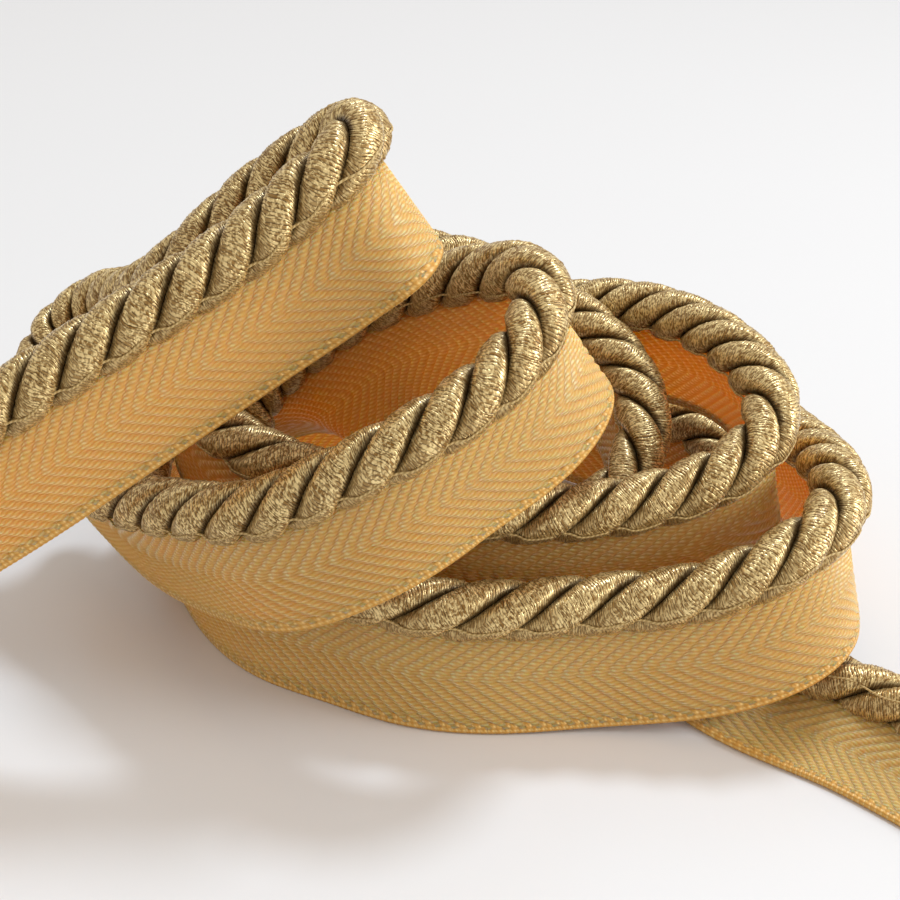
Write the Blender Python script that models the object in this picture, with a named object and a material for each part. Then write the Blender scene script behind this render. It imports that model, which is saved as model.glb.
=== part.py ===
"""Twisted cord sewn along a woven tape, lying in loose leaning coils.

Two pieces are modelled as real solids, in metres with +Z up:
cord  one three-ply twisted cord, about 10 mm thick, twist raised in the solid
tape  one woven tape standing edgewise under the cord, about 1 mm thick
The trim starts at the cut end of the flat tail, passes under the coils, turns
round behind them, climbs through five loops and comes down again to its second
cut end.
The tail's tape lies flat on the ground plane z = 0.
"""

import math
from collections import namedtuple

import bpy
import numpy as np

# Driving dimensions, in millimetres
LOBE_RADIUS = 5.1        # cord centre to the crown of a ply
GROOVE_RADIUS = 3.6      # cord centre to the groove between two plies
PLIES = 3
LAY_LENGTH = 25.53       # length of cord for one full turn of a ply, left-hand lay
FIRST_LAY = 29.5         # the same in the slacker first part, from the tail on
FIRST_PART = 454.4       # length of that first part
LAY_START = -30.5        # where the plies stand at the tail's end, in degrees
CORD_STEP = 2.93         # length of cord between two cross-sections
TAPE_GAP = 0.35          # clearance between the crowns and the tape
TAPE_FOOT = 22.0         # cord centre to the free edge of the tape
TAPE_THICKNESS = 1.0
TAPE_STEP = 4.2          # length of trim between two cross-sections of the tape
TAPE_ROWS = 4            # points across the tape's width
CENTRE = (1.149, 5.718)  # middle of the outline in the table below, moved to x = y = 0
MM = 0.001

# Profile of one ply in the cord's cross-section: angle from the crown, share of
# the way from the groove up to the crown
PROFILE = ((-30.0, 0.74), (0.0, 1.0), (30.0, 0.74), (60.0, 0.0))

# Hand-placed stations of the cord's centre line, in travel order, in millimetres.
# lean is how far the tape swings to the left of travel from hanging straight
# down, in degrees.
Station = namedtuple("Station", "stretch x y z lean")
ROUTE = [Station(*row) for row in (
    ("tail_end", 113, -55.5, 5.15, 68),
    ("tail", 102, -45, 5.15, 68),
    ("tail", 92.8, -35.6, 5.15, 68),
    ("tail", 84.6, -28.4, 5.15, 70),
    ("tail_under", 75.8, -22, 5.15, 70),
    ("tail_under", 69, -14, 6.2, 66),
    ("turn5", 67.4, -4, 8.6, 56),
    ("turn5", 69, 7, 11.8, 42),
    ("turn5", 71, 17.5, 15.4, 28),
    ("turn5", 71.2, 27.5, 19.4, 14),
    ("back4", 67.6, 36.5, 21.8, 4),
    ("back4", 60.6, 44.2, 22.2, 0),
    ("back4", 51.5, 49.8, 22.2, 0),
    ("turn6", 41.2, 56.2, 22.2, 0),
    ("turn6", 36.4, 65.4, 22.2, 0),
    ("turn6", 41.2, 74.6, 22.2, 0),
    ("back5", 53, 77, 22.2, 0),
    ("back5", 65, 73, 22.2, 0),
    ("back5", 75.4, 63.5, 22.6, 0),
    ("back5", 81, 50, 23.4, 0),
    ("tip4", 83.2, 34.5, 25, 2),
    ("tip4", 84.1, 18, 28.4, 5),
    ("tip4", 84.3, 2.8, 31.7, 9),
    ("tip4", 83, -9.8, 33.3, 13),
    ("front4", 78.8, -19.6, 32.8, 17),
    ("front4", 70, -26.4, 29.8, 20),
    ("front4", 56, -29, 25, 14),
    ("front4", 40, -28.6, 22.5, 12),
    ("front4", 22, -29.2, 21.6, 12),
    ("front4", 8, -27, 21.6, 11),
    ("front4", -4, -21.8, 21.6, 9),
    ("front4", -18, -16.8, 21.9, 2),
    ("turn4", -28.5, -8.2, 21.8, -3),
    ("turn4", -37.5, 3, 21.7, -9),
    ("turn4", -43.2, 16.4, 21.7, -9),
    ("turn4", -43.8, 30.2, 22, -3),
    ("turn4", -39.6, 43.4, 22, 0),
    ("back3", -27, 52.5, 24, 0),
    ("back3", -7, 55.5, 29, 0),
    ("back3", 13, 53, 36, 0),
    ("back3", 30, 49, 42.5, 3),
    ("back3", 45, 43, 47.4, 8),
    ("back3", 57.5, 33.5, 49.2, 14),
    ("back3", 66, 20.5, 49.2, 14),
    ("tip3", 70.8, 7.5, 47.6, 8),
    ("tip3", 71.2, -3.5, 44.6, 4),
    ("front3", 65.5, -11, 40, 0),
    ("front3", 54.5, -14.7, 35.6, 0),
    ("front3", 40, -16.8, 33.4, 0),
    ("front3", 24, -17.2, 33, 0),
    ("front3", 8, -15, 33.8, 0),
    ("front3", -7, -9, 35.6, 0),
    ("turn3", -19.5, -1.5, 37.4, 0),
    ("turn3", -30, 8.5, 42.2, 0),
    ("turn3", -35.5, 21, 48.5, 0),
    ("turn3", -32, 34, 52.5, 0),
    ("backD", -20, 43, 55.5, 0),
    ("backD", -3, 46, 57, 0),
    ("backD", 14, 44.5, 56.8, 0),
    ("backD", 29, 39.8, 53.2, 0),
    ("backD", 40.5, 33, 48.4, 0),
    ("backD", 48, 24, 43.8, 0),
    ("tipD", 51.4, 14, 39, -8),
    ("tipD", 50, 4, 32.5, -14),
    ("frontD", 43, -2.5, 26.5, -12),
    ("frontD", 30, -4, 23, 0),
    ("frontD", 14, -2, 22, 0),
    ("frontD", 0, 2.5, 22, 0),
    ("turnD", -13, 8.5, 22, 0),
    ("turnD", -21.5, 15.5, 25, 0),
    ("turnD", -23, 22, 31.5, 0),
    ("back2", -19, 24, 38.5, 0),
    ("back2", -12.5, 22.5, 45, 0),
    ("back2", -5, 20, 52, 0),
    ("back2", 5, 16.8, 58.6, 0),
    ("back2", 15, 12.2, 63.5, 0),
    ("back2", 23.5, 5, 67.5, 14),
    ("tip2", 29.2, -4, 70, 30),
    ("tip2", 30.6, -13, 68.8, 33),
    ("tip2", 27.5, -21.5, 64.8, 22),
    ("front2", 20.5, -28, 59.8, 8),
    ("front2", 10, -32.2, 54, 0),
    ("front2", -4, -32, 46, 0),
    ("front2", -15.4, -28.6, 39.8, -2),
    ("front2", -25.3, -21.9, 36.1, -6),
    ("turn2", -34.8, -13.8, 32.7, -11),
    ("turn2", -43.8, -5.4, 30.5, -16),
    ("turn2", -51.8, 2.8, 31.8, -18),
    ("turn2", -58.4, 11.4, 35.8, -12),
    ("turn2", -61.2, 20, 41.2, -4),
    ("back1", -59.4, 28, 46.8, 0),
    ("back1", -52.4, 29.4, 52.4, 0),
    ("back1", -43.4, 19.8, 57.8, -2),
    ("back1", -28, 2.6, 70.5, -8),
    ("back1", -17, 3, 80.2, 4),
    ("back1", -7, 2.1, 87.8, 16),
    ("tip1", -1, -0.2, 92, 28),
    ("tip1", 2, -6.4, 94, 34),
    ("tip1", 0.4, -13.2, 92, 30),
    ("front1", -4.9, -16.7, 87.9, 15),
    ("front1", -14, -19.4, 80.8, 2),
    ("front1", -24, -22.3, 74.4, 0),
    ("front1", -38, -25.9, 66.3, 2),
    ("front1", -53, -29, 57.2, 3),
    ("front1", -68, -31, 47.5, 0),
    ("front1", -82, -33, 38.3, -3),
    ("front1", -95, -34.5, 30, -5),
    ("front1", -105, -35, 24.6, -5),
    ("end1", -113, -35, 22.4, -5),
)]


def clear_scene():
    for item in list(bpy.data.objects):
        bpy.data.objects.remove(item, do_unlink=True)


def natural_spline(knots, values, query):
    """Cubic curve with continuous bending through every knot."""
    count = len(knots)
    gap = np.diff(knots)
    system = np.zeros((count, count))
    right = np.zeros((count, values.shape[1]))
    system[0, 0] = system[-1, -1] = 1.0
    for i in range(1, count - 1):
        system[i, i - 1:i + 2] = gap[i - 1], 2.0 * (gap[i - 1] + gap[i]), gap[i]
        right[i] = 6.0 * ((values[i + 1] - values[i]) / gap[i]
                          - (values[i] - values[i - 1]) / gap[i - 1])
    bend = np.linalg.solve(system, right)
    span = np.clip(np.searchsorted(knots, query, side="right") - 1, 0, count - 2)
    wide = gap[span][:, None]
    done = (query - knots[span])[:, None]
    left = wide - done
    return ((bend[span] * left ** 3 + bend[span + 1] * done ** 3) / (6.0 * wide)
            + (values[span] / wide - bend[span] * wide / 6.0) * left
            + (values[span + 1] / wide - bend[span + 1] * wide / 6.0) * done)


def centre_line(step):
    """Even samples along the route: centre, tape lean and length from the start."""
    table = np.array([(s.x - CENTRE[0], s.y - CENTRE[1], s.z, s.lean) for s in ROUTE])
    chord = np.linalg.norm(np.diff(table[:, :3], axis=0), axis=1)
    knots = np.concatenate([[0.0], np.cumsum(chord)])
    fine = natural_spline(knots, table, np.linspace(0.0, knots[-1], 6000))
    length = np.concatenate([[0.0], np.cumsum(
        np.linalg.norm(np.diff(fine[:, :3], axis=0), axis=1))])
    count = int(round(length[-1] / step)) + 1
    along = np.linspace(0.0, length[-1], count)
    even = np.stack([np.interp(along, length, fine[:, i]) for i in range(4)], axis=1)
    return even[:, :3], np.radians(even[:, 3]), along


def directions(centre, lean):
    """Travel direction and the direction in which the tape hangs, per sample."""
    travel = np.gradient(centre, axis=0)
    travel /= np.linalg.norm(travel, axis=1)[:, None]
    down = np.array([0.0, 0.0, -1.0]) + travel[:, 2:3] * travel
    down /= np.linalg.norm(down, axis=1)[:, None]
    left = np.cross([0.0, 0.0, 1.0], travel)
    left /= np.linalg.norm(left, axis=1)[:, None]
    hang = np.cos(lean)[:, None] * down + np.sin(lean)[:, None] * left
    return travel, hang


def tube_faces(rings, per_ring):
    """Quads around and along a tube of closed rings, with a flat cap on each end."""
    faces = []
    for i in range(rings - 1):
        for j in range(per_ring):
            k = (j + 1) % per_ring
            faces.append((i * per_ring + j, i * per_ring + k,
                          (i + 1) * per_ring + k, (i + 1) * per_ring + j))
    faces.append(tuple(range(per_ring - 1, -1, -1)))
    last = (rings - 1) * per_ring
    faces.append(tuple(range(last, last + per_ring)))
    return faces


def add_solid(name, points, faces, colour, roughness, metallic):
    mesh = bpy.data.meshes.new(name)
    mesh.from_pydata((points * MM).tolist(), [], faces)
    mesh.update()
    item = bpy.data.objects.new(name, mesh)
    bpy.context.scene.collection.objects.link(item)
    material = bpy.data.materials.new(name)
    material.use_nodes = True
    shader = material.node_tree.nodes["Principled BSDF"]
    shader.inputs["Base Color"].default_value = (*colour, 1.0)
    shader.inputs["Roughness"].default_value = roughness
    shader.inputs["Metallic"].default_value = metallic
    mesh.materials.append(material)
    return item


def twist(along):
    """Angle of the plies, in radians, at each length from the tail's end."""
    turns = (np.minimum(along, FIRST_PART) / FIRST_LAY
             + np.maximum(along - FIRST_PART, 0.0) / LAY_LENGTH)
    return math.radians(LAY_START) - 2.0 * math.pi * turns


def build_cord():
    """Three plies laid together: a lobed ring turned a little at every section."""
    centre, lean, along = centre_line(CORD_STEP)
    travel, hang = directions(centre, lean)
    side = np.cross(travel, hang)
    ring = [(math.radians(360.0 * ply / PLIES + angle),
             GROOVE_RADIUS + (LOBE_RADIUS - GROOVE_RADIUS) * share)
            for ply in range(PLIES) for angle, share in PROFILE]
    turn = twist(along)
    points = []
    for i in range(len(along)):
        for angle, radius in ring:
            a = angle + turn[i]
            points.append(centre[i] + radius * (math.cos(a) * hang[i] + math.sin(a) * side[i]))
    return add_solid("cord", np.array(points), tube_faces(len(along), len(ring)),
                     (0.42, 0.33, 0.18), 0.45, 0.6)


def build_tape():
    """A thin strip under the cord, flattened where it reaches the ground."""
    centre, lean, along = centre_line(TAPE_STEP)
    travel, hang = directions(centre, lean)
    half = TAPE_THICKNESS / 2.0
    reach = np.linspace(LOBE_RADIUS + TAPE_GAP, TAPE_FOOT, TAPE_ROWS)
    middle = centre[:, None, :] + reach[None, :, None] * hang[:, None, :]
    lowest = half * np.where(lean > 0.7, 1.0, np.abs(np.sin(lean)))
    middle[:, :, 2] = np.maximum(middle[:, :, 2], lowest[:, None])
    along_way = np.gradient(middle, axis=0)
    across = np.gradient(middle, axis=1)
    normal = np.cross(along_way, across)
    normal /= np.linalg.norm(normal, axis=2)[:, :, None]
    outer = middle + half * normal
    inner = middle - half * normal
    ring = np.concatenate([inner, outer[:, ::-1]], axis=1)
    ring[:, :, 2] = np.maximum(ring[:, :, 2], 0.0)
    per_ring = 2 * TAPE_ROWS
    return add_solid("tape", ring.reshape(-1, 3), tube_faces(len(along), per_ring),
                     (0.62, 0.38, 0.14), 0.7, 0.1)


clear_scene()
build_cord()
build_tape()
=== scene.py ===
# %% [markdown]
# A cord-edged trim, the kind that upholsterers sew along a cushion's seam. A twisted cord of
# three metallic gold plies is sewn along the top edge of a woven tape, and about 1.44 m of it
# lies in loose, leaning coils with a flat tail. This first cell loads the packed CAD part, which
# stays where it is.

import math
from collections import namedtuple

import bmesh
import bpy
import numpy as np
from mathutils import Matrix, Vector


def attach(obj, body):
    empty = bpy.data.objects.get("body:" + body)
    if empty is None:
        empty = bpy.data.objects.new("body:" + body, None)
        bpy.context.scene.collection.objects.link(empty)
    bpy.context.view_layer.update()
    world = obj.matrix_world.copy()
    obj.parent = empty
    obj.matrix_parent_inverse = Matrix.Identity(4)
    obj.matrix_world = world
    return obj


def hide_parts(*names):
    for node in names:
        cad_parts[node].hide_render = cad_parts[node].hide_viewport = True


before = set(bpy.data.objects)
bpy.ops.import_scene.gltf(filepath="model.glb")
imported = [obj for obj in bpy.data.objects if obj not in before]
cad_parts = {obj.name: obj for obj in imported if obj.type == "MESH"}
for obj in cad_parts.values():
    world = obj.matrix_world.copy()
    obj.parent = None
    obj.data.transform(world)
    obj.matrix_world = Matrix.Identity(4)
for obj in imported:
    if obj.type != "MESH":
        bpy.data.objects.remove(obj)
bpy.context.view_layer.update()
MM = 0.001

# %% [markdown]
# The camera comes first, because the last check measures how far the cord spreads
# outside its view. It stands in front of the coils and looks down on them by 27 degrees,
# as in the photograph. Blender's cameras look straight down when they aren't turned, so
# it is tipped up by the rest of a right angle. A 54 mm lens on a 36 mm sensor gives the
# photograph's view.

# %% Camera
LOOK_DOWN = 27.0       # degrees below the horizon
LENS, SENSOR = 54.0, 36.0
CAMERA_PLACE = (0.014851, -0.218718, 0.1446)
camera_data = bpy.data.cameras.new("photo_camera")
camera_data.lens, camera_data.sensor_width = LENS, SENSOR
camera_data.clip_start = 10 * MM
camera = bpy.data.objects.new("photo_camera", camera_data)
camera.location = CAMERA_PLACE
camera.rotation_euler = (math.radians(90.0 - LOOK_DOWN), 0.0, 0.0)
bpy.context.scene.collection.objects.link(camera)
bpy.context.scene.camera = camera
print("camera at", tuple(round(v, 4) for v in camera.location))

# %% [markdown]
# Everything in this object follows one line, the centre of the cord. It is given by stations in
# travel order, the same ones as in the part's source: the cut end of the flat tail comes first,
# then the five loops, then the run that leaves the picture on the left. Each station has a
# height, because the coils lie on each other, and a lean, which is how far the tape swings out
# from hanging straight down. They are listed, because a simulation wouldn't fall into the
# photograph's coils.

# %% Stations of the route
CENTRE = (1.149, 5.718)  # middle of the outline in the table, moved to x = y = 0
Station = namedtuple("Station", "stretch x y z lean")
ROUTE = [Station(*row) for row in (
    ("tail_end", 113, -55.5, 5.15, 68),
    ("tail", 102, -45, 5.15, 68),
    ("tail", 92.8, -35.6, 5.15, 68),
    ("tail", 84.6, -28.4, 5.15, 70),
    ("tail_under", 75.8, -22, 5.15, 70),
    ("tail_under", 69, -14, 6.2, 66),
    ("turn5", 67.4, -4, 8.6, 56),
    ("turn5", 69, 7, 11.8, 42),
    ("turn5", 71, 17.5, 15.4, 28),
    ("turn5", 71.2, 27.5, 19.4, 14),
    ("back4", 67.6, 36.5, 21.8, 4),
    ("back4", 60.6, 44.2, 22.2, 0),
    ("back4", 51.5, 49.8, 22.2, 0),
    ("turn6", 41.2, 56.2, 22.2, 0),
    ("turn6", 36.4, 65.4, 22.2, 0),
    ("turn6", 41.2, 74.6, 22.2, 0),
    ("back5", 53, 77, 22.2, 0),
    ("back5", 65, 73, 22.2, 0),
    ("back5", 75.4, 63.5, 22.6, 0),
    ("back5", 81, 50, 23.4, 0),
    ("tip4", 83.2, 34.5, 25, 2),
    ("tip4", 84.1, 18, 28.4, 5),
    ("tip4", 84.3, 2.8, 31.7, 9),
    ("tip4", 83, -9.8, 33.3, 13),
    ("front4", 78.8, -19.6, 32.8, 17),
    ("front4", 70, -26.4, 29.8, 20),
    ("front4", 56, -29, 25, 14),
    ("front4", 40, -28.6, 22.5, 12),
    ("front4", 22, -29.2, 21.6, 12),
    ("front4", 8, -27, 21.6, 11),
    ("front4", -4, -21.8, 21.6, 9),
    ("front4", -18, -16.8, 21.9, 2),
    ("turn4", -28.5, -8.2, 21.8, -3),
    ("turn4", -37.5, 3, 21.7, -9),
    ("turn4", -43.2, 16.4, 21.7, -9),
    ("turn4", -43.8, 30.2, 22, -3),
    ("turn4", -39.6, 43.4, 22, 0),
    ("back3", -27, 52.5, 24, 0),
    ("back3", -7, 55.5, 29, 0),
    ("back3", 13, 53, 36, 0),
    ("back3", 30, 49, 42.5, 3),
    ("back3", 45, 43, 47.4, 8),
    ("back3", 57.5, 33.5, 49.2, 14),
    ("back3", 66, 20.5, 49.2, 14),
    ("tip3", 70.8, 7.5, 47.6, 8),
    ("tip3", 71.2, -3.5, 44.6, 4),
    ("front3", 65.5, -11, 40, 0),
    ("front3", 54.5, -14.7, 35.6, 0),
    ("front3", 40, -16.8, 33.4, 0),
    ("front3", 24, -17.2, 33, 0),
    ("front3", 8, -15, 33.8, 0),
    ("front3", -7, -9, 35.6, 0),
    ("turn3", -19.5, -1.5, 37.4, 0),
    ("turn3", -30, 8.5, 42.2, 0),
    ("turn3", -35.5, 21, 48.5, 0),
    ("turn3", -32, 34, 52.5, 0),
    ("backD", -20, 43, 55.5, 0),
    ("backD", -3, 46, 57, 0),
    ("backD", 14, 44.5, 56.8, 0),
    ("backD", 29, 39.8, 53.2, 0),
    ("backD", 40.5, 33, 48.4, 0),
    ("backD", 48, 24, 43.8, 0),
    ("tipD", 51.4, 14, 39, -8),
    ("tipD", 50, 4, 32.5, -14),
    ("frontD", 43, -2.5, 26.5, -12),
    ("frontD", 30, -4, 23, 0),
    ("frontD", 14, -2, 22, 0),
    ("frontD", 0, 2.5, 22, 0),
    ("turnD", -13, 8.5, 22, 0),
    ("turnD", -21.5, 15.5, 25, 0),
    ("turnD", -23, 22, 31.5, 0),
    ("back2", -19, 24, 38.5, 0),
    ("back2", -12.5, 22.5, 45, 0),
    ("back2", -5, 20, 52, 0),
    ("back2", 5, 16.8, 58.6, 0),
    ("back2", 15, 12.2, 63.5, 0),
    ("back2", 23.5, 5, 67.5, 14),
    ("tip2", 29.2, -4, 70, 30),
    ("tip2", 30.6, -13, 68.8, 33),
    ("tip2", 27.5, -21.5, 64.8, 22),
    ("front2", 20.5, -28, 59.8, 8),
    ("front2", 10, -32.2, 54, 0),
    ("front2", -4, -32, 46, 0),
    ("front2", -15.4, -28.6, 39.8, -2),
    ("front2", -25.3, -21.9, 36.1, -6),
    ("turn2", -34.8, -13.8, 32.7, -11),
    ("turn2", -43.8, -5.4, 30.5, -16),
    ("turn2", -51.8, 2.8, 31.8, -18),
    ("turn2", -58.4, 11.4, 35.8, -12),
    ("turn2", -61.2, 20, 41.2, -4),
    ("back1", -59.4, 28, 46.8, 0),
    ("back1", -52.4, 29.4, 52.4, 0),
    ("back1", -43.4, 19.8, 57.8, -2),
    ("back1", -28, 2.6, 70.5, -8),
    ("back1", -17, 3, 80.2, 4),
    ("back1", -7, 2.1, 87.8, 16),
    ("tip1", -1, -0.2, 92, 28),
    ("tip1", 2, -6.4, 94, 34),
    ("tip1", 0.4, -13.2, 92, 30),
    ("front1", -4.9, -16.7, 87.9, 15),
    ("front1", -14, -19.4, 80.8, 2),
    ("front1", -24, -22.3, 74.4, 0),
    ("front1", -38, -25.9, 66.3, 2),
    ("front1", -53, -29, 57.2, 3),
    ("front1", -68, -31, 47.5, 0),
    ("front1", -82, -33, 38.3, -3),
    ("front1", -95, -34.5, 30, -5),
    ("front1", -105, -35, 24.6, -5),
    ("end1", -113, -35, 22.4, -5),
)]
print(len(ROUTE), "stations from", ROUTE[0].stretch, "to", ROUTE[-1].stretch)

# %% [markdown]
# Between the stations the cord bends like a springy rod, which is what a natural
# cubic spline does: it passes through every station and its bending never jumps.
# Blender's own curves need handles that are set one by one, so the spline is solved
# here with numpy and sampled finely along its real length.

# %% Spline through the stations
SAMPLES = 24000        # points on the route, about 0.06 mm apart


def natural_spline(knots, values, query):
    """Cubic curve with continuous bending through every knot."""
    count = len(knots)
    gap = np.diff(knots)
    system = np.zeros((count, count))
    right = np.zeros((count, values.shape[1]))
    system[0, 0] = system[-1, -1] = 1.0
    for i in range(1, count - 1):
        system[i, i - 1:i + 2] = gap[i - 1], 2.0 * (gap[i - 1] + gap[i]), gap[i]
        right[i] = 6.0 * ((values[i + 1] - values[i]) / gap[i]
                          - (values[i] - values[i - 1]) / gap[i - 1])
    bend = np.linalg.solve(system, right)
    span = np.clip(np.searchsorted(knots, query, side="right") - 1, 0, count - 2)
    wide = gap[span][:, None]
    done = (query - knots[span])[:, None]
    left = wide - done
    return ((bend[span] * left ** 3 + bend[span + 1] * done ** 3) / (6.0 * wide)
            + (values[span] / wide - bend[span] * wide / 6.0) * left
            + (values[span + 1] / wide - bend[span + 1] * wide / 6.0) * done)


def lengths_along(points):
    """Distance travelled up to each point of a chain."""
    steps = np.linalg.norm(np.diff(points, axis=0), axis=1)
    return np.concatenate([[0.0], np.cumsum(steps)])


table = np.array([(s.x - CENTRE[0], s.y - CENTRE[1], s.z, s.lean) for s in ROUTE])
knots = lengths_along(table[:, :3])
fine = natural_spline(knots, table, np.linspace(0.0, knots[-1], SAMPLES))
along = lengths_along(fine[:, :3])
LENGTH = along[-1]
print("cord length in mm:", round(LENGTH, 1))

# %% [markdown]
# A twist and a hanging tape both need to know which way is down, seen from the cord.
# So every sample gets three directions at right angles: travel along the cord, hang
# towards the tape, and side, which points out of the tape's face. A piece then only
# has to say how far along it is and how far it stands off in each direction.

# %% Directions along the route
UP = np.array([0.0, 0.0, 1.0])


def unit(rows):
    """Each row scaled to a length of one."""
    return rows / np.linalg.norm(rows, axis=1)[:, None]


centre, lean = fine[:, :3], np.radians(fine[:, 3])
travel = unit(np.gradient(centre, axis=0))
down = unit(travel[:, 2:3] * travel - UP)
left_hand = unit(np.cross(UP, travel))
hang = np.cos(lean)[:, None] * down + np.sin(lean)[:, None] * left_hand
side = np.cross(travel, hang)


def along_route(field, where):
    """A field of the route read at any lengths from the tail, run on straight past the ends."""
    where = np.asarray(where, float)
    inside = np.clip(where, 0.0, LENGTH)
    if field.ndim == 1:
        return np.interp(inside, along, field)
    value = np.stack([np.interp(inside, along, field[:, k]) for k in range(3)], axis=-1)
    if field is centre:
        past = (where - inside)[..., None]
        value = value + past * np.where(past < 0.0, travel[0], travel[-1])
    return value


def smooth_step(low, high, value):
    """0 up to low, 1 from high on, and a soft rise between them."""
    share = np.clip((value - low) / (high - low), 0.0, 1.0)
    return share * share * (3.0 - 2.0 * share)


print("steepest lean in degrees:", round(float(np.degrees(np.abs(lean).max()))))

# %% [markdown]
# Each piece below is a loft: rings of points set one after another along the route,
# joined by quads. A curve with a bevel can't lay its faces along slanted threads, so
# one helper turns a block of points into a mesh, gives it a UV map in the maker's own
# units, and marks the rings that stay sharp. A sharp ring in a smooth mesh is what
# makes a thread look round: the shading bends over the thread and breaks between two.

# %% Loft helper
def loft(name, points, u, v, closed=True, sharp=None):
    """Mesh from points[ring, place] in mm, with u read by ring and v by place.

    A closed loft joins its last place to the first and has a cap at both ends. The
    rings that sharp marks break the smooth shading.
    """
    rings, places = points.shape[:2]
    around = places if closed else places - 1
    i, j = np.meshgrid(np.arange(rings - 1), np.arange(around), indexing="ij")
    k = (j + 1) % places
    corners = np.stack([i * places + j, i * places + k,
                        (i + 1) * places + k, (i + 1) * places + j], axis=-1).ravel()
    sides_end = len(corners)
    starts = np.arange(0, sides_end, 4)
    if closed:
        first, last = np.arange(places)[::-1], (rings - 1) * places + np.arange(places)
        corners = np.concatenate([corners, first, last])
        starts = np.concatenate([starts, [sides_end, sides_end + places]])
    mesh = bpy.data.meshes.new(name)
    mesh.vertices.add(rings * places)
    mesh.vertices.foreach_set("co", (points.reshape(-1, 3) * MM).astype(np.float32).ravel())
    mesh.loops.add(len(corners))
    mesh.loops.foreach_set("vertex_index", corners.astype(np.int32))
    mesh.polygons.add(len(starts))
    mesh.polygons.foreach_set("loop_start", starts.astype(np.int32))
    mesh.update(calc_edges=True)
    mesh.polygons.foreach_set("use_smooth", np.ones(len(starts), bool))
    uv = np.zeros((len(corners), 2), np.float32)
    uv[:sides_end, 0] = np.stack([u[i], u[i], u[i + 1], u[i + 1]], axis=-1).ravel()
    uv[:sides_end, 1] = np.stack([v[j], v[j + 1], v[j + 1], v[j]], axis=-1).ravel()
    mesh.uv_layers.new(name="weave").data.foreach_set("uv", uv.ravel())
    if sharp is not None:
        ends = np.zeros(len(mesh.edges) * 2, np.int32)
        mesh.edges.foreach_get("vertices", ends)
        ring = ends.reshape(-1, 2) // places
        keep = (ring[:, 0] == ring[:, 1]) & sharp[ring[:, 0]]
        mesh.attributes.new("sharp_edge", "BOOLEAN", "EDGE").data.foreach_set("value", keep)
    piece = bpy.data.objects.new(name, mesh)
    bpy.context.scene.collection.objects.link(piece)
    print(name, "triangles:", sum(len(p.vertices) - 2 for p in mesh.polygons))
    return piece


# %% [markdown]
# The cord is three fat plies laid together with a left-hand twist, a little slacker in
# the first loop than above it. The section of a ply is most of a squared oval that
# bulges out, with two flat sides where it presses on its neighbours. A plain circle
# would leave the grooves too wide. An oval's points are a cosine and a sine, and
# raising both to a power below one fills its corners.

# %% Section of one ply
PLIES = 3
LAY_LENGTH = 25.53     # length of cord for one full turn of a ply
FIRST_LAY = 29.5       # the same in the slacker first part, from the tail on
FIRST_PART = 454.4     # length of that first part
LAY_START = -30.5      # where the plies stand at the tail's end, in degrees
PLY_CENTRE = 2.6       # cord centre to the middle of a ply
PLY_HEART = 0.14       # cord centre to the inner corner of a ply
PLY_DEEP, PLY_WIDE = 2.5, 3.2
BULGE_SPAN = 104.0     # how far round each way the ply bulges out, in degrees
FULLNESS = 0.87        # 1 is an oval, less fills its corners
OUTER_POINTS = 10


def filled(share):
    """A cosine or sine of an oval with its corners filled."""
    return np.sign(share) * np.abs(share) ** FULLNESS


bulge = np.radians(np.linspace(-BULGE_SPAN, BULGE_SPAN, OUTER_POINTS))
section = np.stack([PLY_CENTRE + PLY_DEEP * filled(np.cos(bulge)),
                    PLY_WIDE * filled(np.sin(bulge))], axis=1)
section = np.concatenate([section, [[PLY_HEART, 0.0]]])
outward = unit(np.stack([np.cos(bulge) / PLY_DEEP, np.sin(bulge) / PLY_WIDE], axis=1))
outward = np.concatenate([outward, [[0.0, 0.0]]])
section_length = lengths_along(np.concatenate([section, section[:1]]))
OUTER_GIRTH = section_length[OUTER_POINTS - 1]
print("visible girth of a ply in mm:", round(OUTER_GIRTH, 2))


def turn_at(where):
    """Angle of the twist, in radians, at a length from the tail's end."""
    turns = (np.minimum(where, FIRST_PART) / FIRST_LAY
             + np.maximum(where - FIRST_PART, 0.0) / LAY_LENGTH)
    return math.radians(LAY_START) - 2.0 * np.pi * turns


# %% [markdown]
# Each ply is a core wrapped from end to end with metallic thread. A bump map alone
# would leave the cord's outline smooth, so the wraps are modelled: two rings of points
# for every wrap, one on the thread and one sharp ring in the dip before the next.
# Slanting each ring a little sets the wraps nearly square across the ply instead of
# across the cord. Real wraps are never quite alike, so each gets its own width and
# height from a seeded generator, and the rings wander a little to and fro along the
# cord. This cell sets those sizes and works out the wandering.

# %% Wraps of thread
WRAP_PITCH = 0.345         # length of cord taken by one wrap of thread
WRAP_WIDTHS = (0.6, 1.4)   # narrowest and widest wrap, as shares of the mean one
WRAP_RISES = (-0.07, 0.09)
WRAP_DIP = 0.08            # depth of the dip between two wraps
SLANT = 0.335              # how far a ring runs ahead for each mm across the ply
SQUARE_END = 12.0          # length over which the slant fades out at a cut end
WANDER = 0.30              # how far a wrap strays along the cord
WANDER_WRAPS, WANDER_KNOTS = 5, 6


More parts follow.
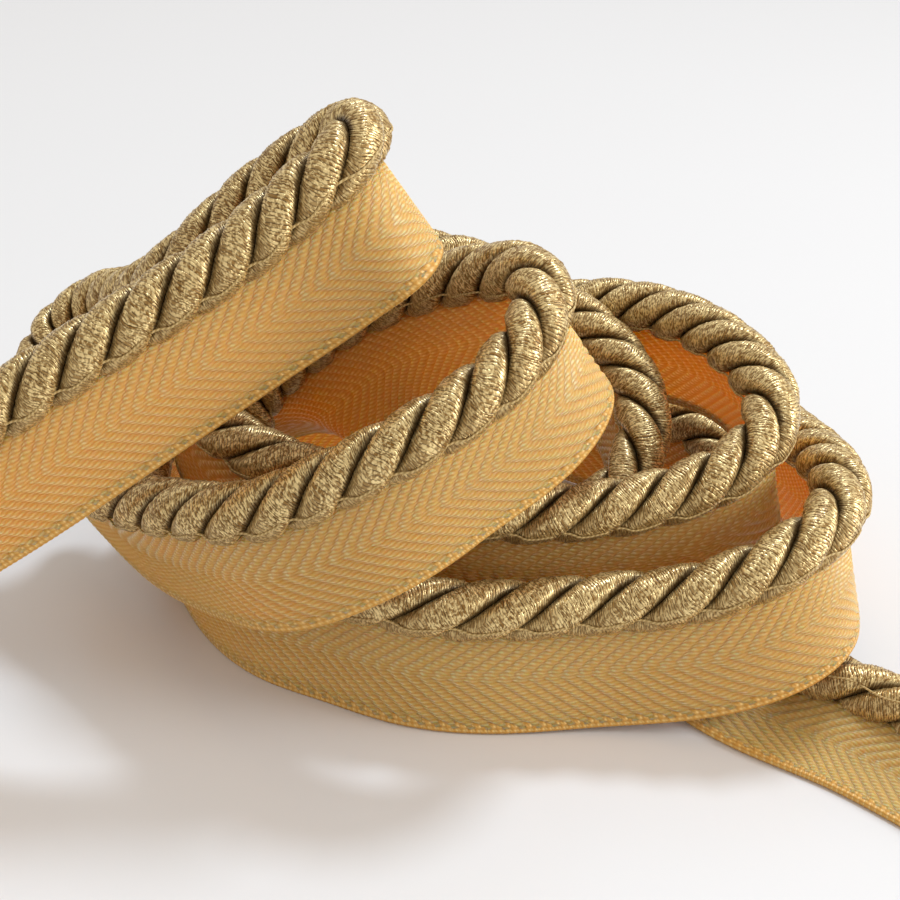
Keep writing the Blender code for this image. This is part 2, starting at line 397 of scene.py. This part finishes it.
def wandering(chance, rings):
    """Stray of every ring at every outer point: random knots joined by straight slopes."""
    rows = rings // (2 * WANDER_WRAPS) + 2
    knots_across = np.linspace(0.0, 1.0, WANDER_KNOTS)
    knot = chance.uniform(-WANDER, WANDER, (rows, WANDER_KNOTS))
    places = np.linspace(0.0, 1.0, OUTER_POINTS)
    knot = np.stack([np.interp(places, knots_across, row) for row in knot])
    at = np.arange(rings) / (2.0 * WANDER_WRAPS)
    low = at.astype(int)
    share = (at - low)[:, None]
    stray = knot[low] * (1.0 - share) + knot[low + 1] * share
    return np.concatenate([stray, np.zeros((rings, 1))], axis=1)


print("wraps on each ply:", int(round(LENGTH / WRAP_PITCH)))

# %% [markdown]
# Now the plies themselves. Each ring of the section is moved along the route, turned by the
# twist and set out from the cord's centre. Near the two cut ends the slant fades out, which
# leaves a square cut. Each point also keeps a number named foot, which rises to one along the
# underside of the cord. The finish reads it later to paint shade along the underside.

# %% The three plies
FIRST_SEED = 40
FOOT_FROM, FOOT_FULL = 0.05, 0.65  # cosines of the turn where the underside begins


def build_ply(number):
    """One ply, with its own wraps."""
    chance = np.random.default_rng(FIRST_SEED + number)
    wraps = int(round(LENGTH / WRAP_PITCH))
    width = chance.uniform(*WRAP_WIDTHS, wraps)
    edge = np.concatenate([[0.0], np.cumsum(width)]) * LENGTH / width.sum()
    where = np.empty(2 * wraps + 1)
    where[0::2] = edge
    where[1::2] = 0.5 * (edge[:-1] + edge[1:])
    rise = np.full(len(where), -WRAP_DIP)
    rise[1::2] = chance.uniform(*WRAP_RISES, wraps)
    fade = smooth_step(0.0, SQUARE_END, np.minimum(where, LENGTH - where))
    place = section[None, :, :] + rise[:, None, None] * outward[None, :, :]
    stray = SLANT * place[:, :, 1] + wandering(chance, len(where))
    reach = where[:, None] + fade[:, None] * stray
    angle = turn_at(reach) + 2.0 * np.pi * number / PLIES
    cosine, sine = np.cos(angle)[..., None], np.sin(angle)[..., None]
    middle, hanging, sideways = (along_route(f, reach) for f in (centre, hang, side))
    points = (middle + place[..., :1] * (cosine * hanging + sine * sideways)
              + place[..., 1:] * (cosine * sideways - sine * hanging))
    sharp = np.arange(len(where)) % 2 == 0
    ply = loft(f"gold_ply_{number + 1}", points, np.arange(len(where)) / 2.0,
               section_length, sharp=sharp)
    foot = smooth_step(FOOT_FROM, FOOT_FULL, np.cos(angle)).astype(np.float32)
    ply.data.attributes.new("foot", "FLOAT", "POINT").data.foreach_set("value", foot.ravel())
    return ply


plies = [build_ply(number) for number in range(PLIES)]

# %% [markdown]
# The tape hangs from the cord, and where it leans far over it reaches the ground, turns
# softly and lies flat on it. A cloth simulation could settle it, but the tape has to
# stay on its CAD solid, so a formula lifts every point that would sink below the
# ground. Its face turns upwards there.

# %% How the tape lies
FLAT_FROM, FLAT_FULL = math.radians(30.0), math.radians(52.0)  # lean that lays it down
GROUND_HEIGHT = 0.5    # from the ground to the middle of the lying cloth
GROUND_EASE = 0.9      # how softly the cloth turns onto the ground
FACE_TURN = 1.5        # height over which its face turns upwards


def tape_point(where, reach, proud):
    """A point of the tape, reach mm below the cord's centre and proud mm out of its face."""
    middle, hanging, sideways = (along_route(f, where) for f in (centre, hang, side))
    slope = along_route(lean, where)
    point = middle + reach[..., None] * hanging
    flat = smooth_step(FLAT_FROM, FLAT_FULL, slope)
    lowest = GROUND_HEIGHT * np.maximum(np.abs(np.sin(slope)), flat)
    over = point[..., 2] - lowest
    ease = GROUND_EASE * flat
    point[..., 2] = lowest + 0.5 * (over + np.sqrt(over ** 2 + ease ** 2))
    lying = (smooth_step(FACE_TURN, 0.0, over) * flat)[..., None]
    upwards = UP * np.sign(sideways[..., 2:3])
    return point + proud[..., None] * (sideways * (1.0 - lying) + upwards * lying)


leaning_share = np.mean(lean > FLAT_FROM)
print("share of the tape that leans over by 30 degrees:", round(float(leaning_share), 2))

# %% [markdown]
# The tape is a herringbone: its ribs climb one way over the upper half and the other
# way below, and meet in a line of points. To get ribs that really stand up, the grid
# of the sheet is sheared so that its columns run along the ribs, and six columns make
# one rib. A square grid would need many more faces to show the same ribs.

# %% Tape cloth
RIB_PITCH = 2.5        # from rib to rib, along the tape
RIB_RISE = 0.30        # from the lowest to the highest column of a rib
RIB_PROFILE = np.array([0.0, 0.7, 1.0, 0.7, 0.0, 0.0])  # heights of a rib's columns
RIB_MIDDLE = 0.4       # the height of the profile that lies on the tape's middle
RIB_RUN = 1.19         # along the tape for each mm across it, ribs at 40 degrees
RIB_SHIFT = 4.0        # moves all the ribs towards the tail
POINT_LINE = 11.9      # cord centre to the line where the ribs meet
TAPE_TOP, TAPE_FOOT, CLOTH_FOOT = 3.8, 22.0, 20.9
CLOTH_THICKNESS = 0.8
CLOTH_ROWS = 13


def build_cloth():
    """The woven sheet, with slanting ends that run on past the cord's."""
    rows = np.linspace(TAPE_TOP, CLOTH_FOOT, CLOTH_ROWS)
    spare = RIB_RUN * (CLOTH_FOOT - POINT_LINE) + RIB_PITCH
    step = RIB_PITCH / len(RIB_PROFILE)
    count = int(round((LENGTH + 2.0 * spare) / step))
    start = -spare + np.arange(count) * step
    shift = RIB_RUN * (CLOTH_FOOT - POINT_LINE - np.abs(rows - POINT_LINE)) - RIB_SHIFT
    where = start[:, None] + shift[None, :]
    rise = RIB_RISE * (RIB_PROFILE[np.arange(count) % len(RIB_PROFILE)] - RIB_MIDDLE)
    points = tape_point(where, np.broadcast_to(rows, where.shape),
                        np.broadcast_to(rise[:, None], where.shape))
    return loft("tape_cloth", points, start / RIB_PITCH, rows, closed=False)


cloth = build_cloth()

# %% [markdown]
# Shearing leaves the sheet's two ends in slanting points. A maker cuts them square
# with shears, and here bisect_plane does the same: one plane across each end. The
# Solidify modifier then gives the sheet its thickness, half to each side.

# %% Cut the tape's ends square
sheet = bmesh.new()
sheet.from_mesh(cloth.data)
for end, outwards in ((0, -1.0), (-1, 1.0)):
    bmesh.ops.bisect_plane(sheet, geom=sheet.verts[:] + sheet.edges[:] + sheet.faces[:],
                           dist=1e-7, plane_co=centre[end] * MM,
                           plane_no=travel[end] * outwards, clear_outer=True)
sheet.to_mesh(cloth.data)
sheet.free()
thickness = cloth.modifiers.new("thickness", "SOLIDIFY")
thickness.thickness = CLOTH_THICKNESS * MM
thickness.offset = 0.0
print("cloth faces after the cut:", len(cloth.data.polygons))

# %% [markdown]
# The tape's free edge is its selvedge, where the weft turns round and comes back, so
# it is a little thicker and shows two rows of small beads. A flat tube with four rings
# to each bead follows the foot of the tape and overlaps the cloth a little. Its section
# is a short table: how far below the cord's centre, how far out of the tape's face, and
# how much of the first and of the second row's swelling the point takes.

# %% Selvedge
BEAD_LENGTH = 1.07
BEAD_RINGS = 4
BEAD_SWELL = 0.07
FOOT_SWELL = 0.08      # how much the second row swells the very foot
EdgePoint = namedtuple("EdgePoint", "reach out first second")
EDGE_FACE = [EdgePoint(*row) for row in (
    (19.85, 0.30, 0.0, 0.0),
    (20.10, 0.41, 0.4, 0.0),
    (20.50, 0.45, 1.0, 0.0),
    (20.95, 0.42, 0.2, 0.2),
    (21.40, 0.43, 0.0, 1.0),
    (21.80, 0.31, 0.0, 0.6),
)]


def build_selvedge():
    """The beaded edge, as a closed tube."""
    count = int(round(LENGTH / BEAD_LENGTH)) * BEAD_RINGS + 1
    where = np.linspace(0.0, LENGTH, count)
    phase = 2.0 * np.pi * (np.arange(count) % BEAD_RINGS) / BEAD_RINGS
    first, second = 0.5 - 0.5 * np.cos(phase), 0.5 + 0.5 * np.cos(phase)
    ring = [(p.reach, p.out + BEAD_SWELL * (p.first * first + p.second * second))
            for p in EDGE_FACE]
    ring.append((TAPE_FOOT - FOOT_SWELL + FOOT_SWELL * second, 0.0))
    ring += [(reach, -out) for reach, out in ring[-2::-1]]
    reach = np.stack([np.broadcast_to(r, where.shape) for r, _ in ring], axis=1)
    proud = np.stack([np.broadcast_to(out, where.shape) for _, out in ring], axis=1)
    points = tape_point(np.repeat(where[:, None], len(ring), axis=1), reach, proud)
    return loft("tape_selvedge", points, np.arange(count) / BEAD_RINGS,
                np.linspace(0.0, 4.0, len(ring) + 1))


selvedge = build_selvedge()

# %% [markdown]
# The cord is sewn on with a lockstitch, which has one thread on the front and one on the
# back. Each thread runs low round the cord in stitches that cross one ply at a time:
# it lies on the fat of the ply and dives in between that ply and the next. A tube with
# five sides is round enough for a thread this thin.

# %% Sewing threads
THREAD_RADIUS = 0.2
THREAD_SIDES = 5
THREAD_STEP = 0.6      # from ring to ring, and from a cut end to the thread's end
THREAD_ANGLE = 66.0    # how far round the cord from the tape, in degrees
STITCH_OUT = 4.75      # cord centre to the middle of the thread's rise and fall
STITCH_RISE = 0.42
STITCH_SNAP = 2.4      # how suddenly it dives between two plies
STITCH_LONG = 1.1      # above 0, more of it lies on a ply than between two
STITCH_LAG = 0.5       # how far behind the fat of the ply it is highest
STITCH_SWAY = 0.06     # how far it sways round the cord, in radians


def build_thread(name, face):
    """The thread on the front of the tape, with face 1, or on its back, with face -1."""
    count = int(round(LENGTH / THREAD_STEP))
    where = np.linspace(THREAD_STEP, LENGTH - THREAD_STEP, count)
    angle = math.radians(THREAD_ANGLE) * face
    ply = PLIES * (turn_at(where) - angle)
    lift = np.tanh(STITCH_SNAP * np.cos(ply + STITCH_LAG) + STITCH_LONG)
    out = STITCH_OUT + STITCH_RISE * lift
    angle = angle + STITCH_SWAY * np.sin(ply)
    hanging, sideways = along_route(hang, where), along_route(side, where)
    line = (along_route(centre, where) + (out * np.cos(angle))[:, None] * hanging
            + (out * np.sin(angle))[:, None] * sideways)
    ahead = unit(np.gradient(line, axis=0))
    across = unit(np.cross(ahead, hanging))
    inwards = np.cross(ahead, across)
    turn = np.linspace(0.0, 2.0 * np.pi, THREAD_SIDES + 1)[:-1][None, :, None]
    points = line[:, None] + THREAD_RADIUS * (np.cos(turn) * across[:, None]
                                              + np.sin(turn) * inwards[:, None])
    return loft(name, points, where, np.linspace(0.0, 1.0, THREAD_SIDES + 1))


threads = [build_thread("sewing_thread_front", 1.0), build_thread("sewing_thread_back", -1.0)]

# %% [markdown]
# A material's patterns can be written as Python formulas. The small class below wraps
# one output socket, and arithmetic on it adds the Math nodes, so that a pattern reads
# like a formula. It works with the number first as well, as in 1.0 - foot.

# %% A socket for formulas
class Wire:
    """An output socket that can be used in a formula."""

    def __init__(self, socket):
        self.socket = socket

    def maths(self, operation, *values):
        tree = self.socket.id_data
        node = tree.nodes.new("ShaderNodeMath")
        node.operation = operation
        for slot, value in zip(node.inputs, values):
            if isinstance(value, Wire):
                tree.links.new(value.socket, slot)
            else:
                slot.default_value = value
        return Wire(node.outputs[0])

    def __add__(self, other):
        return self.maths("ADD", self, other)

    def __sub__(self, other):
        return self.maths("SUBTRACT", self, other)

    def __rsub__(self, other):
        return self.maths("SUBTRACT", other, self)

    def __mul__(self, other):
        return self.maths("MULTIPLY", self, other)

    def __pow__(self, other):
        return self.maths("POWER", self, other)

    __radd__, __rmul__ = __add__, __mul__


print("a Wire takes +, -, * and **")

# %% [markdown]
# A finish is one material on Blender's Principled shader. Its method node adds any
# other node: it takes the node's type, its settings, and then what goes into its
# sockets. The settings come first, because some of them change the sockets.

# %% A material and its nodes
class Finish:
    """A new material, with one method that adds any node to it."""

    def __init__(self, name):
        self.material = bpy.data.materials.new(name)
        self.material.use_nodes = True
        self.tree = self.material.node_tree
        self.shader = self.tree.nodes["Principled BSDF"]

    def node(self, kind, settings, sockets, out=0):
        made = self.tree.nodes.new(kind)
        for name, value in settings.items():
            setattr(made, name, value)
        for name, value in sockets.items():
            self.fill(made.inputs[name], value)
        return Wire(made.outputs[out])

    def fill(self, socket, value):
        """A wire or a plain value put into a socket."""
        if isinstance(value, Wire):
            self.tree.links.new(value.socket, socket)
        else:
            socket.default_value = value

    def set(self, **values):
        """Wires or plain values for the shader's own sockets."""
        for name, value in values.items():
            self.fill(self.shader.inputs[name.replace("_", " ")], value)

    def put_on(self, *pieces):
        for piece in pieces:
            piece.data.materials.clear()
            piece.data.materials.append(self.material)


print("a Finish has", [name for name in vars(Finish) if not name.startswith("_")])

# %% [markdown]
# Three short helpers cover what the finishes share: the two numbers of a piece's UV
# map, a smooth wave for anything that repeats, and a mix of two colours. Colours go
# through Blender's Mix node, because a Math node would turn them grey.

# %% Pattern helpers
def weave_uv(finish):
    """The two numbers of the UV map that the loft helper made."""
    uv = finish.node("ShaderNodeUVMap", {"uv_map": "weave"}, {})
    return [finish.node("ShaderNodeSeparateXYZ", {}, {0: uv}, out=k) for k in (0, 1)]


def wave(finish, turns):
    """A smooth wave that is 1 at each whole number and 0 halfway between two."""
    angle = turns * (2.0 * math.pi)
    return finish.node("ShaderNodeMath", {"operation": "COSINE"}, {0: angle}) * 0.5 + 0.5


def mix(finish, share, first, second):
    """Two colours mixed by a share."""
    return finish.node("ShaderNodeMix", {"data_type": "RGBA"},
                       {0: share, 6: first, 7: second}, out=2)


print("patterns are made with", weave_uv.__name__, wave.__name__, mix.__name__)

# %% [markdown]
# The cord's thread is a yarn wound with thin metallic foil, so it glints like metal but
# unevenly: one wrap catches the light, the next one doesn't. The UV map counts wraps in u, so a
# white noise on the whole number gives every wrap its own tone, partly its own colour and partly
# a painted glint, and the part after the point says where in its wrap a spot lies. A fine noise
# that is longer along the thread than across it breaks the shine into short strokes, which are
# painted glints in the colour and also a lower roughness. The tone adds these up, and along the
# underside of the cord it is duller and more even: painted shade on the side that faces down.

# %% Tone of the gold thread
gold = Finish("gold_thread")
gold_u, gold_v = weave_uv(gold)
wrap = gold.node("ShaderNodeMath", {"operation": "FLOOR"}, {0: gold_u})
within = gold_u - wrap
own_tone = gold.node("ShaderNodeTexWhiteNoise", {"noise_dimensions": "1D"}, {"W": wrap})
wide_spot = gold.node("ShaderNodeCombineXYZ", {}, {0: gold_u * 0.13, 1: gold_v * 0.5})
wide_tone = gold.node("ShaderNodeTexNoise", {}, {"Vector": wide_spot, "Scale": 1.0,
                                                 "Detail": 1.0})
spot = gold.node("ShaderNodeCombineXYZ", {}, {0: wrap * 3.7, 1: gold_v * 1.1,
                                              2: within * 0.9})
foil = gold.node("ShaderNodeTexNoise", {}, {"Vector": spot, "Scale": 1.0, "Detail": 2.0,
                                            "Roughness": 0.6})
# Painted glints: these strokes brighten the colour towards the bright gold, and they also lower
# the roughness.
glint_stroke = gold.node("ShaderNodeMapRange", {"interpolation_type": "SMOOTHSTEP"},
                   {"Value": foil, "From Min": 0.42, "From Max": 0.60})
foot = gold.node("ShaderNodeAttribute", {"attribute_name": "foot"}, {}, out=2)
open_tone = 0.22 * own_tone + 0.22 * wide_tone + 0.74 * glint_stroke - 0.08
# Painted shade: along the underside the painted glints are muted towards an even, duller tone.
tone = open_tone * (1.0 - 0.45 * foot) + 0.10 * foot
print("nodes for the gold tone:", len(gold.tree.nodes))

# %% [markdown]
# Shade is painted into the thread's colour in two places: in the dip between two wraps, and in
# the groove between two plies, where little light gets in. How far a spot is from the middle of
# its wrap gives the first. For the second, v runs round the ply in millimetres, so both ends of
# its range are where the ply meets its neighbours; along the underside of the cord this painted
# shade fades out. The modelled wraps already catch the light, and a small bump adds the strands
# of the thread.

# %% Shade and shine of the gold thread
# The first colour is painted shade, for the dips and the grooves; the other two are the dull and
# the bright end of the thread's tone.
GOLD_PAINTED_SHADE = (0.075, 0.038, 0.006, 1.0)
GOLD_DULL = (0.27, 0.130, 0.015, 1.0)
GOLD_BRIGHT = (1.0, 0.78, 0.37, 1.0)
near_dip = gold.node("ShaderNodeMath", {"operation": "ABSOLUTE"}, {0: within * 2.0 - 1.0})
crest = 1.0 - near_dip ** 4.0 * (1.0 - 0.7 * glint_stroke)
near_edge = gold.node("ShaderNodeMath", {"operation": "MINIMUM"},
                      {0: gold_v, 1: OUTER_GIRTH - gold_v})
daylight = gold.node("ShaderNodeMapRange", {"interpolation_type": "SMOOTHSTEP"},
                     {"Value": near_edge + 1.6 * foot, "From Min": 0.2, "From Max": 1.6})
# Painted shade: where crest times the daylight share is low, the colour goes to the shade
# colour.
gold_colour = mix(gold, crest * (0.12 + 0.88 * daylight), GOLD_PAINTED_SHADE,
                  mix(gold, tone, GOLD_DULL, GOLD_BRIGHT))
lift = gold.node("ShaderNodeBump", {}, {"Strength": 0.8, "Distance": 0.00010,
                                        "Height": crest + 1.2 * foil})
gold.set(Base_Color=gold_colour, Metallic=0.60, Roughness=0.52 - 0.24 * glint_stroke, Normal=lift,
         Coat_Weight=0.30, Coat_Roughness=0.32)
gold.put_on(*plies)
print("gold thread nodes:", len(gold.tree.nodes))

# %% [markdown]
# The tape is a satin yarn in a warm ochre. Its warp runs along the tape in fine rows 0.56 mm
# apart, and each row passes over a few threads of the weft and under the next, which shows as
# short pale dashes. They stand out most along one flank of each rib, which is also smoother and
# glossier. The paleness of the dashes is partly the weave's pattern and partly painted sheen,
# and the pale flank is painted sheen. The UV map counts ribs in u and millimetres across the
# tape in v, so the rows are a wave along v, the pale flanks are a wave along u, and the dashes
# are a slanting wave of both.
# Subsurface light lets the thin cloth glow orange where the light comes from behind it.
# The dense selvedge lets through much less, so it has its own glow and colours.

# %% Tape finish
ROW_PITCH = 0.56       # from row to row of the warp, across the tape
FLANK_AT = 1.0 / 3.0   # where the pale flank is between two whole numbers of u
YARN_DARK, YARN_PALE = (0.66, 0.260, 0.026, 1.0), (1.0, 0.66, 0.31, 1.0)
EDGE_DARK, EDGE_PALE = (0.60, 0.260, 0.026, 1.0), (0.95, 0.61, 0.19, 1.0)


def woven(name, dark, pale, glow):
    """Satin yarn for a piece whose UV map is named weave; glow is its subsurface weight."""
    finish = Finish(name)
    u, v = weave_uv(finish)
    flank = wave(finish, u - FLANK_AT) ** 1.6
    row = wave(finish, v * (1.0 / ROW_PITCH))
    float_end = wave(finish, 2.0 * u + v * (0.5 / ROW_PITCH))
    dash = row * (0.35 + 0.65 * float_end)
    spot = finish.node("ShaderNodeCombineXYZ", {}, {0: u * 2.5, 1: v * 1.0})
    uneven = finish.node("ShaderNodeTexNoise", {}, {"Vector": spot, "Scale": 0.9, "Detail": 3.0})
    fibre = finish.node("ShaderNodeTexNoise", {}, {"Vector": spot, "Scale": 7.0, "Detail": 2.0})
    # Painted sheen: the pale flank and the dashes on it lighten the colour; the uneven noise and
    # the fibre are the yarn's own tone.
    tone = 0.25 * uneven + dash * (0.40 + 0.75 * flank) + 0.12 * flank + 0.40 * fibre - 0.19
    bump = finish.node("ShaderNodeBump", {}, {"Strength": 0.9, "Distance": 0.00020,
                                              "Height": 0.55 * flank + 0.75 * dash
                                              + 0.25 * fibre})
    finish.set(Base_Color=mix(finish, tone, dark, pale), Normal=bump,
               Roughness=0.70 - 0.28 * flank,
               Coat_Weight=0.03 + 1.3 * flank * dash, Coat_Roughness=0.34,
               Sheen_Weight=0.05, Sheen_Roughness=0.35, Specular_IOR_Level=0.45,
               Subsurface_Weight=glow, Subsurface_Scale=0.0050,
               Subsurface_Radius=(1.0, 0.54, 0.14))
    return finish


ochre = woven("ochre_yarn", YARN_DARK, YARN_PALE, 0.8)
ochre.put_on(cloth)
edge_yarn = woven("ochre_edge_yarn", EDGE_DARK, EDGE_PALE, 0.1)
edge_yarn.put_on(selvedge)
print("tape nodes:", len(ochre.tree.nodes))

# %% [markdown]
# The sewing thread is plain cotton in a dull gold, with the fine slanting lines of
# its own twist. One slanting wave is enough for them on a thread that is 0.4 mm thick.

# %% Sewing thread finish
COTTON_DARK, COTTON_PALE = (0.42, 0.27, 0.085, 1.0), (0.70, 0.52, 0.23, 1.0)
cotton = Finish("sewing_cotton")
cotton_u, cotton_v = weave_uv(cotton)
strand = wave(cotton, cotton_u * 1.4 + cotton_v)
cotton_bump = cotton.node("ShaderNodeBump", {}, {"Strength": 0.6, "Distance": 0.00005,
                                                 "Height": strand})
cotton.set(Base_Color=mix(cotton, strand, COTTON_DARK, COTTON_PALE), Roughness=0.55,
           Normal=cotton_bump)
cotton.put_on(*threads)
print("thread nodes:", len(cotton.tree.nodes))

# %% [markdown]
# The trim lies on a plain pale floor with a faint gloss. One flat grid is enough for it.

# %% Floor
FLOOR_HALF = 3.0       # half a side of the floor, in metres
FLOOR_PALE = (0.80, 0.80, 0.80, 1.0)
floor_mesh = bpy.data.meshes.new("studio_floor")
floor_form = bmesh.new()
bmesh.ops.create_grid(floor_form, x_segments=2, y_segments=2, size=FLOOR_HALF)
floor_form.to_mesh(floor_mesh)
floor_form.free()
floor = bpy.data.objects.new("studio_floor", floor_mesh)
bpy.context.scene.collection.objects.link(floor)
paper = Finish("floor_paper")
paper.set(Base_Color=FLOOR_PALE, Roughness=0.28, Specular_IOR_Level=0.5)
paper.put_on(floor)
print("floor faces:", len(floor_mesh.polygons))

# %% [markdown]
# The studio light is an even and slightly warm surround and a soft light high at the
# back right, a little cooler, which draws the soft shadow to the front left. Together
# they are neutral on the floor and warm in the shadow. A low panel on the right gives
# the satin its whitish shine where the coils bend towards it. Both lights are wide
# disks, because a small lamp would draw hard shadows.

# %% Surround and lights
world = bpy.data.worlds.new("studio")
world.use_nodes = True
surround = world.node_tree.nodes["Background"]
surround.inputs["Color"].default_value = (1.0, 0.940, 0.880, 1.0)
surround.inputs["Strength"].default_value = 0.68
bpy.context.scene.world = world
bpy.context.scene.view_settings.view_transform = "Standard"


def soft_light(name, place, aim, size, watts, colour=(1.0, 1.0, 1.0)):
    """A round area light at place, turned towards aim."""
    data = bpy.data.lights.new(name, "AREA")
    data.shape = "DISK"
    data.size, data.energy, data.color = size, watts, colour
    lamp = bpy.data.objects.new(name, data)
    lamp.location = place
    lamp.rotation_euler = (Vector(aim) - Vector(place)).to_track_quat("-Z", "Y").to_euler()
    bpy.context.scene.collection.objects.link(lamp)
    return lamp


key = soft_light("key", place=(0.52, 1.02, 2.35), aim=(0.0, 0.0, 0.03), size=0.48,
                 watts=27.0, colour=(0.88, 1.0, 1.14))
panel = soft_light("right_panel", place=(1.02, -0.16, 0.38), aim=(0.0, 0.0, 0.05),
                   size=0.50, watts=6.8)
print("lights:", key.name, panel.name)

# %% [markdown]
# Everything rides on the one body of this part. The plies stand for the plain cord solid and the
# cloth for the plain tape solid, so those two are hidden. Last, the cord's path is sampled in
# metres.

# %% Ride and replace
for piece in (*plies, *threads):
    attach(piece, "root")
for piece in (cloth, selvedge):
    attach(piece, "root")
for ply in plies:
    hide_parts("cord")
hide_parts("tape")

PATH_POINTS = 650
path = along_route(centre, np.linspace(0.0, LENGTH, PATH_POINTS)) * MM
print("declared a cord of", round(LENGTH * MM, 3), "m and a tape of the same length")
